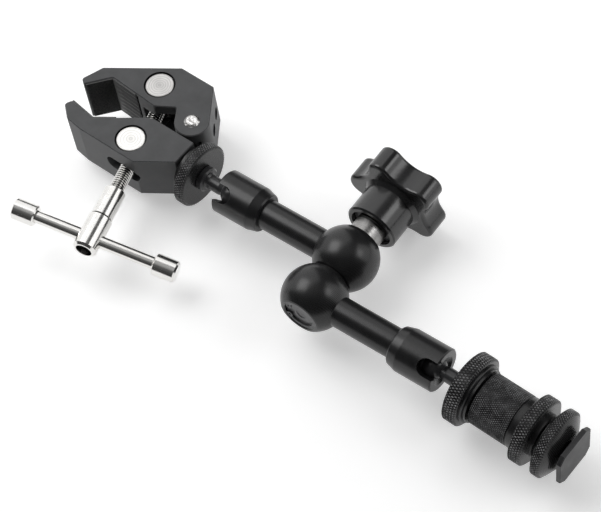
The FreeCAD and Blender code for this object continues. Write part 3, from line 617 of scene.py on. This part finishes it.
ARM_BLACK = (0.010, 0.010, 0.0105)
SHOE_BLACK = (0.012, 0.012, 0.0125)
RING_BLACK = (0.016, 0.016, 0.0165)
STUD_BLACK = (0.035, 0.035, 0.037)
STEEL = (0.80, 0.79, 0.77)

FIRST_BOLT = FIRST_KNUCKLE @ turn(90, "Z")
SECOND_BOLT = SECOND_KNUCKLE @ turn(90, "Z")
UPPER_PIN_AXIS = CLAMP @ shift(*UPPER_PIN)
LOWER_PIN_AXIS = CLAMP @ shift(*LOWER_PIN)
# Rings of painted shade on the jaws round both cross pins, out to the pins' rim
PIN_SHADE_RINGS = [(axis, pin_shade_start, pin_rim_radius + face_gap) for axis in (UPPER_PIN_AXIS, LOWER_PIN_AXIS)]

# The colour after the roughness is each anodised finish's painted edge highlight, patchy like wear
jaw_alloy = anodised("jaw_alloy", "jaw_alloy", (0.070, 0.071, 0.073), 0.48, (0.17, 0.17, 0.175), PIN_SHADE_RINGS)
foot_alloy = anodised("foot_alloy", "foot_alloy", (0.025, 0.025, 0.026), 0.40, (0.11, 0.11, 0.115))
jaw_rubber = moulded("jaw_rubber", "jaw_rubber", (0.055, 0.055, 0.055), 0.45, 0.012, 5.0, 0.5)
knob_black = moulded("knob_black", "knob_black", SHOE_BLACK, 0.2, 0.003, 4.0, 0.65)
washer_fibre = moulded("washer_fibre", "washer_fibre", (0.02, 0.02, 0.02), 0.7, 0.02, 4.0, 0.3)
first_arm_black = turned_black("arm_black_first", "arm_black", ARM_BLACK, 0.27, FIRST_ARM)
second_arm_black = turned_black("arm_black_second", "arm_black", ARM_BLACK, 0.27, SECOND_ARM)
first_stud_black = turned_black("stud_steel_clamp", "stud_steel", STUD_BLACK, 0.25, FIRST_STUD)
second_stud_black = turned_black("stud_steel_shoe", "stud_steel", STUD_BLACK, 0.25, SECOND_STUD)
stem_black = turned_black("ring_black_stem", "ring_black", SHOE_BLACK, 0.32, SECOND_STUD)
cover_steel = turned_black("cover_steel", "inner_steel", (0.06, 0.06, 0.063), 0.33, SECOND_BOLT)
# Each knurled finish has a painted highlight, patchy like wear, on its knurl's points; the barrel's is given
# its own colour
clamp_ring_black = knurled_black("ring_black_clamp", "ring_black", RING_BLACK, 0.30, FIRST_STUD,
                                 clamp_ring_radius)
shoe_ring_black = knurled_black("ring_black_shoe", "ring_black", SHOE_BLACK, 0.26, SECOND_STUD,
                                adapter_ring_radius)
barrel_black = knurled_black("ring_black_barrel", "ring_black", SHOE_BLACK, 0.26, SECOND_STUD, grip_radius,
                             0.2, grip_end - grip_collar_width - 0.7, (0.18, 0.18, 0.185))
wheel_black = knurled_black("ring_black_wheel", "ring_black", RING_BLACK, 0.26, SECOND_STUD,
                            jam_wheel_radius)
collar_steel = polished("collar_steel", "inner_steel", (0.30, 0.295, 0.29), 0.27, FIRST_BOLT)
bush_brass = polished("bush_brass", "bush_brass", (0.66, 0.50, 0.24), 0.25, FIRST_BOLT)
screw_steel = screw_finish("screw_steel", "screw_steel", STEEL, 0.13, SCREW)
upper_pin_steel = faced_steel("upper_pin_steel", "bright_steel", (0.54, 0.53, 0.52), 0.30, UPPER_PIN_AXIS,
                              0.42)
lower_pin_steel = faced_steel("lower_pin_steel", "bright_steel", STEEL, 0.34, LOWER_PIN_AXIS, 0.5)
rivet_steel = peened_steel("rivet_steel", "bright_steel", (0.62, 0.61, 0.60), 0.28)
bar_steel = polished("bar_steel", "bar_steel", STEEL, 0.11, BAR)

CARRIED = {
    "upper_jaw": jaw_alloy,
    "lower_jaw": jaw_alloy,
    "pivot_rivet": rivet_steel,
    "upper_cross_pin": upper_pin_steel,
    "lower_cross_pin": lower_pin_steel,
    "screw_thrust_ring": screw_steel,
    "screw_tip_clip": screw_steel,
    "screw_hub": screw_steel,
    "sliding_bar": bar_steel,
    "bar_cap_left": bar_steel,
    "bar_cap_right": bar_steel,
    "clamp_ball_stud": first_stud_black,
    "clamp_ball_cup": cover_steel,
    "clamp_side_socket": first_arm_black,
    "clamp_side_tube": first_arm_black,
    "clamp_side_push_rod": cover_steel,
    "clamp_side_knuckle": first_arm_black,
    "friction_washer": washer_fibre,
    "tension_bolt": collar_steel,
    "knob_side_cone": collar_steel,
    "head_side_cone": collar_steel,
    "thrust_collar": collar_steel,
    "knob": knob_black,
    "knob_bush": bush_brass,
    "knob_washer": cover_steel,
    "shoe_side_knuckle": second_arm_black,
    "cover_disc": cover_steel,
    "retaining_ring": cover_steel,
    "shoe_side_tube": second_arm_black,
    "shoe_side_push_rod": cover_steel,
    "shoe_side_socket": second_arm_black,
    "shoe_ball_cup": cover_steel,
    "shoe_ball_stud": second_stud_black,
    "shoe_foot": foot_alloy,
}

for node, finish in CARRIED.items():
    materials = NODES[node].data.materials
    if not materials:
        materials.append(finish)
    for index in range(len(materials)):
        materials[index] = finish


# Threads and knurled pieces

def thread_screw():
    start = barrel_flat + thrust_ring_height
    end = PIN_SPAN + sleeve_start + 4
    tip = -barrel_flat - tip_clip_height - 0.6
    neck = lathe(plain((tip, 0), (tip, screw_tip_radius - 0.4), (tip + 0.4, screw_tip_radius),
                       (start + 0.3, screw_tip_radius), (start + 0.3, 0)), 48)
    threaded = thread(start, end, screw_radius, screw_pitch, -1)
    add_piece("clamp_screw_threaded", *joined(neck, threaded), SCREW, "clamp_screw", screw_steel,
              ["clamp_screw"])


def thread_stem():
    end = foot_inner + foot_thickness - 0.6
    add_piece("shoe_stem_threaded", *thread(stem_start, end, thread_radius, stem_pitch), SECOND_STUD,
              "shoe", stem_black, ["shoe_stem"])


def lock_ring(name, radius, lead, teeth, body, place, finish, stands_for):
    """A knurled rim, two steps and a boss. A lead carries the rim back over the stud's flange."""
    start = ring_start - lead
    rim_end = ring_start + knurl_width
    step_end = rim_end + ring_step_width
    back = step_end + ring_step_width
    bore = thread_radius + running
    way = flange_radius + slack if lead > 0 else bore
    seat = ring_start + face_gap
    edge = radius - rim_drop
    step = radius - ring_step_drop
    boss_step = radius - 1.5 * ring_step_drop
    rows = plain((seat, bore), (seat, way), (start, way), (start, edge),
                 (start + break_edge, edge + break_edge))
    rows += knurl(start + 0.6, rim_end - 0.6, radius, knurl_depth, knurl_steps)
    rows += plain((rim_end - break_edge, edge + 2 * break_edge), (rim_end, edge), (rim_end, step),
                  (step_end - 0.3, step), (step_end, step - 0.3), (step_end, boss_step), (back, boss_step),
                  (back, ring_boss_radius), (RING_END, ring_boss_radius), (RING_END, bore))
    add_piece(name, *lathe(rows, points_per_tooth * teeth, teeth), place, body, finish, stands_for)


def knurled_barrel():
    collar = grip_end - grip_collar_width
    bore = thread_radius + running
    hole_end = RING_END + stud_grip
    stem_hole = stem_start - 0.5
    rows = plain((RING_END, bore), (RING_END, grip_radius - 0.7), (RING_END + 0.2, grip_radius - 0.45))
    rows += knurl(RING_END + 0.5, collar - 0.9, grip_radius, barrel_knurl_depth, barrel_knurl_steps)
    rows += plain((collar - 0.6, grip_radius - 0.45), (collar - 0.5, grip_radius - 0.6),
                  (collar, grip_radius - 0.6), (collar, grip_radius - 0.15), (collar + 0.15, grip_radius),
                  (grip_end - 0.4, grip_radius), (grip_end, grip_radius - 0.4), (grip_end, bore),
                  (stem_hole, bore), (stem_hole, 0), (hole_end, 0), (hole_end, bore))
    barrel = lathe(rows, points_per_tooth * barrel_teeth, barrel_teeth)
    add_piece("grip_barrel_knurled", *barrel, SECOND_STUD, "grip_barrel", barrel_black, ["grip_barrel"])


def knurled_wheel(name, start, end, radius, before, after, body):
    """A thin wheel with a knurled rim between the rows of its near and its far side."""
    edge = radius - wheel_rim_drop
    rows = before + plain((start, edge), (start + break_edge, edge + break_edge))
    rows += knurl(start + wheel_bevel, end - wheel_bevel, radius, knurl_depth, knurl_steps)
    rows += after
    wheel = lathe(rows, points_per_tooth * wheel_teeth, wheel_teeth)
    add_piece(name, *wheel, SECOND_STUD, body, wheel_black, [body])


def wheels():
    bore = thread_radius + running
    rim, start, end = jam_wheel_radius, jam_wheel_start, jam_wheel_end
    near = plain((start, bore))
    far = plain((end - break_edge, rim - rim_drop), (end, rim - wheel_rim_drop), (end, wheel_hub_radius),
                (jam_hub_end - 0.2, wheel_hub_radius), (jam_hub_end, wheel_hub_radius - 0.2),
                (jam_hub_end, bore))
    knurled_wheel("jam_wheel_knurled", start, end, rim, near, far, "jam_wheel")
    rim, start, end = clamp_wheel_radius, clamp_wheel_start, clamp_wheel_end
    near = plain((clamp_hub_start, bore), (clamp_hub_start, wheel_hub_radius - 0.2),
                 (clamp_hub_start + 0.2, wheel_hub_radius), (start, wheel_hub_radius))
    far = plain((end, rim - rim_drop + break_edge), (end + break_edge, rim - rim_drop),
                (clamp_cone_end, clamp_cone_radius), (clamp_cone_end, bore))
    knurled_wheel("clamp_wheel_knurled", start, end, rim, near, far, "clamp_wheel")


thread_screw()
thread_stem()
lock_ring("clamp_lock_ring_knurled", clamp_ring_radius, 0.0, clamp_ring_teeth, "clamp_lock_ring",
          FIRST_STUD, clamp_ring_black, ["clamp_lock_ring"])
lock_ring("shoe_lock_ring_knurled", adapter_ring_radius, adapter_ring_lead, adapter_ring_teeth,
          "shoe_lock_ring", SECOND_STUD, shoe_ring_black, ["shoe_lock_ring"])
knurled_barrel()
wheels()


# Jaw pads

UPPER_PAD = [Vector((-48.0, -10.6, 0)), Vector((-40.2, -1.3, 0)), Vector((-26.6, -2.19, 0))]
LOWER_PAD = [Vector((-46.3, -19.3, 0)), Vector((-34.1, -21.1, 0)), Vector((-25.4, -15.3, 0))]


def offset_line(line, distance):
    """An open polyline moved to the left of its own direction."""
    normals = []
    for a, b in zip(line, line[1:]):
        along = (b - a).normalized()
        normals.append(Vector((-along.y, along.x, 0)))
    shifted = [line[0] + normals[0] * distance]
    for before, after, point in zip(normals, normals[1:], line[1:-1]):
        middle = (before + after).normalized()
        shifted.append(point + middle * (distance / middle.dot(before)))
    shifted.append(line[-1] + normals[-1] * distance)
    return shifted


def pad_cut(flank, step, share, z):
    """How deep the pad's face is cut: diamonds on the first flank, ribs that grow in along the second."""
    if flank == 0:
        return diamond_depth if step % 2 else 0.0
    rib = 0.5 - 0.5 * math.cos(2 * math.pi * z / rib_pitch)
    return rib_depth * rib * min(1.0, share / rib_run_in)


def pad(name, line, face, back, body, node):
    """A rubber pad with overhanging lips, its face cut in a fine grid."""
    half = HALF_WIDTH - pad_side_margin - slack / 2
    lip = HALF_WIDTH - lip_gap
    outwards = 1.0 if face > back else -1.0
    front = offset_line(line, face)
    rails = (front, offset_line(line, outwards * face_gap), offset_line(line, back))
    stations = []
    for flank in (0, 1):
        length = (front[flank + 1] - front[flank]).length
        count = 2 * int(length / diamond_length)
        for n in range(count + flank):
            share = n / count
            corners = [rail[flank].lerp(rail[flank + 1], share) for rail in rails]
            stations.append((flank, n, share, corners))
    across = 2 * int(2 * lip / diamond_width)
    points, faces = [], []
    for flank, n, share, (top, level, bottom) in stations:
        into = (bottom - top).normalized()
        for k in range(across + 1):
            z = -lip + 2 * lip * k / across
            sunk = pad_cut(flank, n + k, share, z - lip) if 0 < k < across else 0.0
            place = top + into * sunk
            points.append((place.x, place.y, z))
        rim = ((level, lip), (level, half), (bottom, half), (bottom, -half), (level, -half), (level, -lip))
        points += [(corner.x, corner.y, z) for corner, z in rim]
    row = across + 7
    for j in range(len(stations) - 1):
        step = stations[j][1]
        for k in range(row):
            a, b = j * row + k, j * row + (k + 1) % row
            c, d = b + row, a + row
            if k >= across:
                faces.append((a, b, c, d))
            else:
                faces += [(a, b, c), (a, c, d)] if (step + k) % 2 else [(a, b, d), (b, c, d)]
    last = (len(stations) - 1) * row
    faces.append(tuple(range(row)))
    faces.append(tuple(range(last, last + row)))
    add_piece(name, points, faces, CLAMP, body, jaw_rubber, [node], 25)


def shortened(line, first, last):
    """A polyline with both end flanks cut back."""
    cut = list(line)
    cut[0] = line[0] + (line[1] - line[0]).normalized() * first
    cut[-1] = line[-1] + (line[-2] - line[-1]).normalized() * last
    return cut


lower_proud = pad_proud + lower_pad_lift
pad("upper_pad_ribbed", shortened(UPPER_PAD, pad_end_cut, pad_end_cut), -pad_proud,
    pad_thickness - pad_proud, "upper_jaw", "upper_pad")
pad("lower_pad_ribbed", shortened(LOWER_PAD, 0.0, pad_end_cut), lower_proud, lower_proud - pad_thickness,
    "lower_jaw", "lower_pad")


# Floor, light and camera, in metres

floor_gap = 0.0002
floor_half = 4.0
floor_glow = 0.34
MIDDLE = (0.1, 0.0, 0.0)

# The camera's place, its turns in degrees about X, Y and Z, and the photograph's width and focal length in
# pixels
CAMERA_PLACE = (0.4210355, -0.3072551, 0.6772532)
CAMERA_TURNS = (32.328811, 5.335119, 38.250436)
photo_width = 601.0
focal_pixels = 2120.0


def floor():
    """A white sheet just under the part, a little lit of itself so that it stays white."""
    level = min(CAD_BOX[0].z, CAD_BOX[1].z) - floor_gap
    work = bmesh.new()
    bmesh.ops.create_grid(work, x_segments=2, y_segments=2, size=floor_half)
    mesh = bpy.data.meshes.new("floor")
    work.to_mesh(mesh)
    work.free()
    sheet = bpy.data.objects.new("floor", mesh)
    sheet.location = (MIDDLE[0], MIDDLE[1], level)
    bpy.context.scene.collection.objects.link(sheet)
    material = bpy.data.materials.new("floor_paint")
    material.use_nodes = True
    shader = material.node_tree.nodes["Principled BSDF"]
    shader.inputs["Base Color"].default_value = (0.9, 0.9, 0.9, 1)
    shader.inputs["Roughness"].default_value = 0.8
    shader.inputs["Specular IOR Level"].default_value = 0.2
    shader.inputs["Emission Color"].default_value = (1.0, 1.0, 1.0, 1)
    shader.inputs["Emission Strength"].default_value = floor_glow
    mesh.materials.append(material)


def softbox(name, location, width, height, power):
    """A rectangular lamp that faces the part's middle."""
    light = bpy.data.lights.new(name, "AREA")
    light.shape = "RECTANGLE"
    light.size, light.size_y = width, height
    light.energy = power
    lamp = bpy.data.objects.new(name, light)
    lamp.location = location
    lamp.rotation_mode = "QUATERNION"
    lamp.rotation_quaternion = (Vector(MIDDLE) - Vector(location)).to_track_quat("-Z", "Y")
    bpy.context.scene.collection.objects.link(lamp)


def world():
    """A dim room: darkest at the horizon and below, brightest overhead."""
    made = bpy.data.worlds.new("studio")
    made.use_nodes = True
    tree = made.node_tree
    direction = tree.nodes.new("ShaderNodeTexCoord")
    split = tree.nodes.new("ShaderNodeSeparateXYZ")
    ramp = tree.nodes.new("ShaderNodeValToRGB")
    tree.links.new(direction.outputs["Generated"], split.inputs[0])
    tree.links.new(split.outputs["Z"], ramp.inputs[0])
    tree.links.new(ramp.outputs[0], tree.nodes["Background"].inputs["Color"])
    stops = ramp.color_ramp.elements
    stops[0].position, stops[0].color = 0.0, (0.05, 0.05, 0.05, 1)
    stops[1].position, stops[1].color = 0.98, (0.4, 0.4, 0.4, 1)
    for position, level in ((0.5, 0.06), (0.85, 0.12)):
        stop = stops.new(position)
        stop.color = (level, level, level, 1)
    tree.nodes["Background"].inputs["Strength"].default_value = 1.0
    bpy.context.scene.world = made


def camera():
    """The photograph's view, worked out from the outlines of the known parts."""
    data = bpy.data.cameras.new("camera")
    data.sensor_width = 36.0
    data.lens = focal_pixels * data.sensor_width / photo_width
    data.clip_start, data.clip_end = 0.05, 20.0
    made = bpy.data.objects.new("camera", data)
    made.location = CAMERA_PLACE
    made.rotation_euler = [math.radians(degrees) for degrees in CAMERA_TURNS]
    bpy.context.scene.collection.objects.link(made)
    bpy.context.scene.camera = made


floor()
softbox("left_panel", (-0.66, 0.20, 0.66), 1.7, 1.7, 9.5)
softbox("left_core", (-0.48, -0.10, 0.80), 0.6, 0.55, 3.2)
softbox("right_panel", (0.79, 0.56, 0.44), 0.8, 0.85, 2.6)
softbox("right_core", (0.77, 0.39, 0.64), 0.35, 0.35, 0.8)
world()
camera()
bpy.context.scene.view_settings.view_transform = "Standard"
